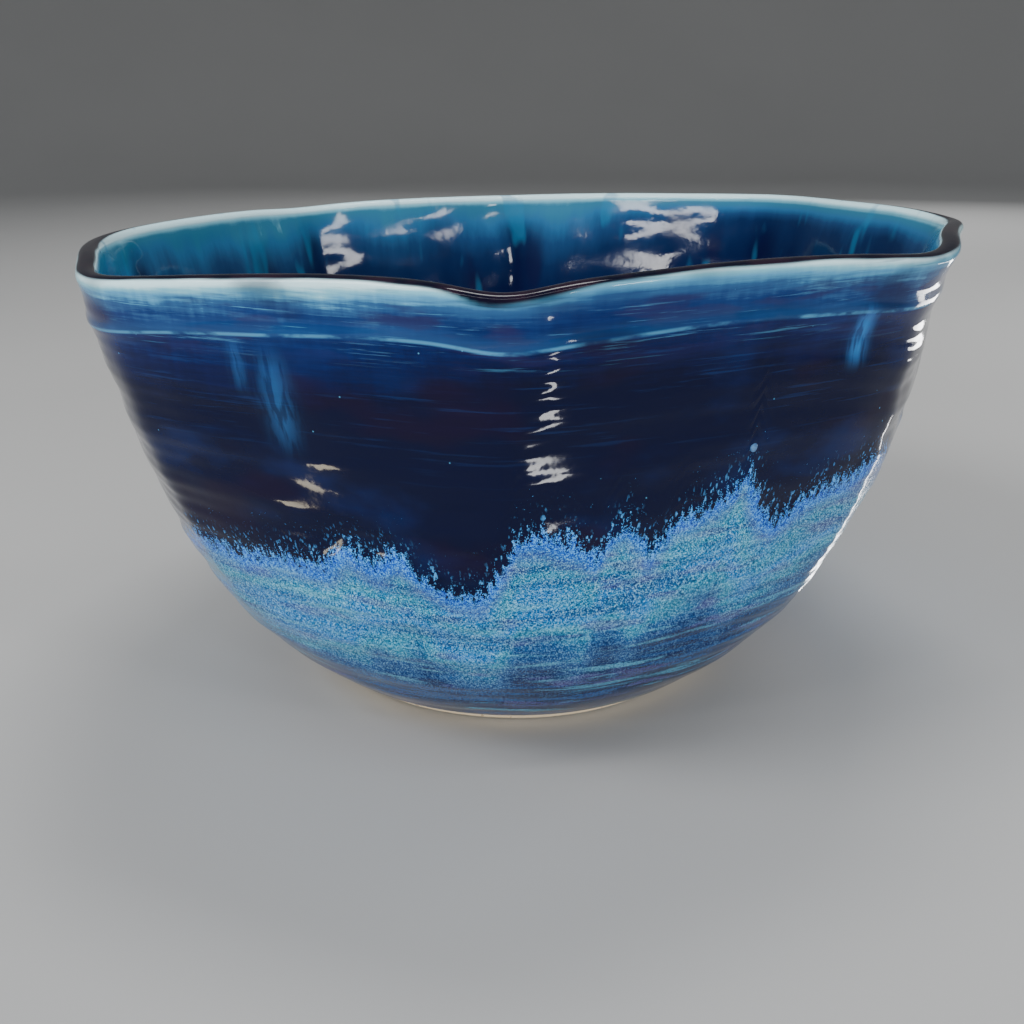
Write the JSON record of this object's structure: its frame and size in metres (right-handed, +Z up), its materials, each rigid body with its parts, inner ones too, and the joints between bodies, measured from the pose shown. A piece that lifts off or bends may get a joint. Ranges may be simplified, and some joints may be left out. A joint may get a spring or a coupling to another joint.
{
  "type": "glazed stoneware bowl",
  "caption": "Thrown stoneware bowl pressed into a soft octagon, with a pale lip, a deep blue upper glaze, a light blue running lower glaze and a bare clay foot.",
  "frame": {"origin": "on the resting plane, under the middle of the bowl's plan outline", "axes": "+Z up out of the bowl's mouth; -Y towards the outward lobe that faces the viewer; +X to the viewer's right"},
  "size_m": [0.2207, 0.2254, 0.117],
  "materials": {
    "clay": "bare fired clay, matt, fine-grained",
    "inside_glaze": "gloss, teal at the lip running to navy",
    "rim_glaze": "gloss, thin and pale where it breaks over the lip",
    "cobalt_glaze": "high gloss, streaked lighter blue below the lip",
    "rutile_glaze": "satin gloss, speckled, banded, running in drips toward the lip"
  },
  "bodies": {
    "root": {"clay_body": "clay", "foot_ring": "clay", "inside_glaze": "inside_glaze", "rim_glaze": "rim_glaze", "cobalt_glaze": "cobalt_glaze", "rutile_glaze": "rutile_glaze"}
  },
  "joints": []
}
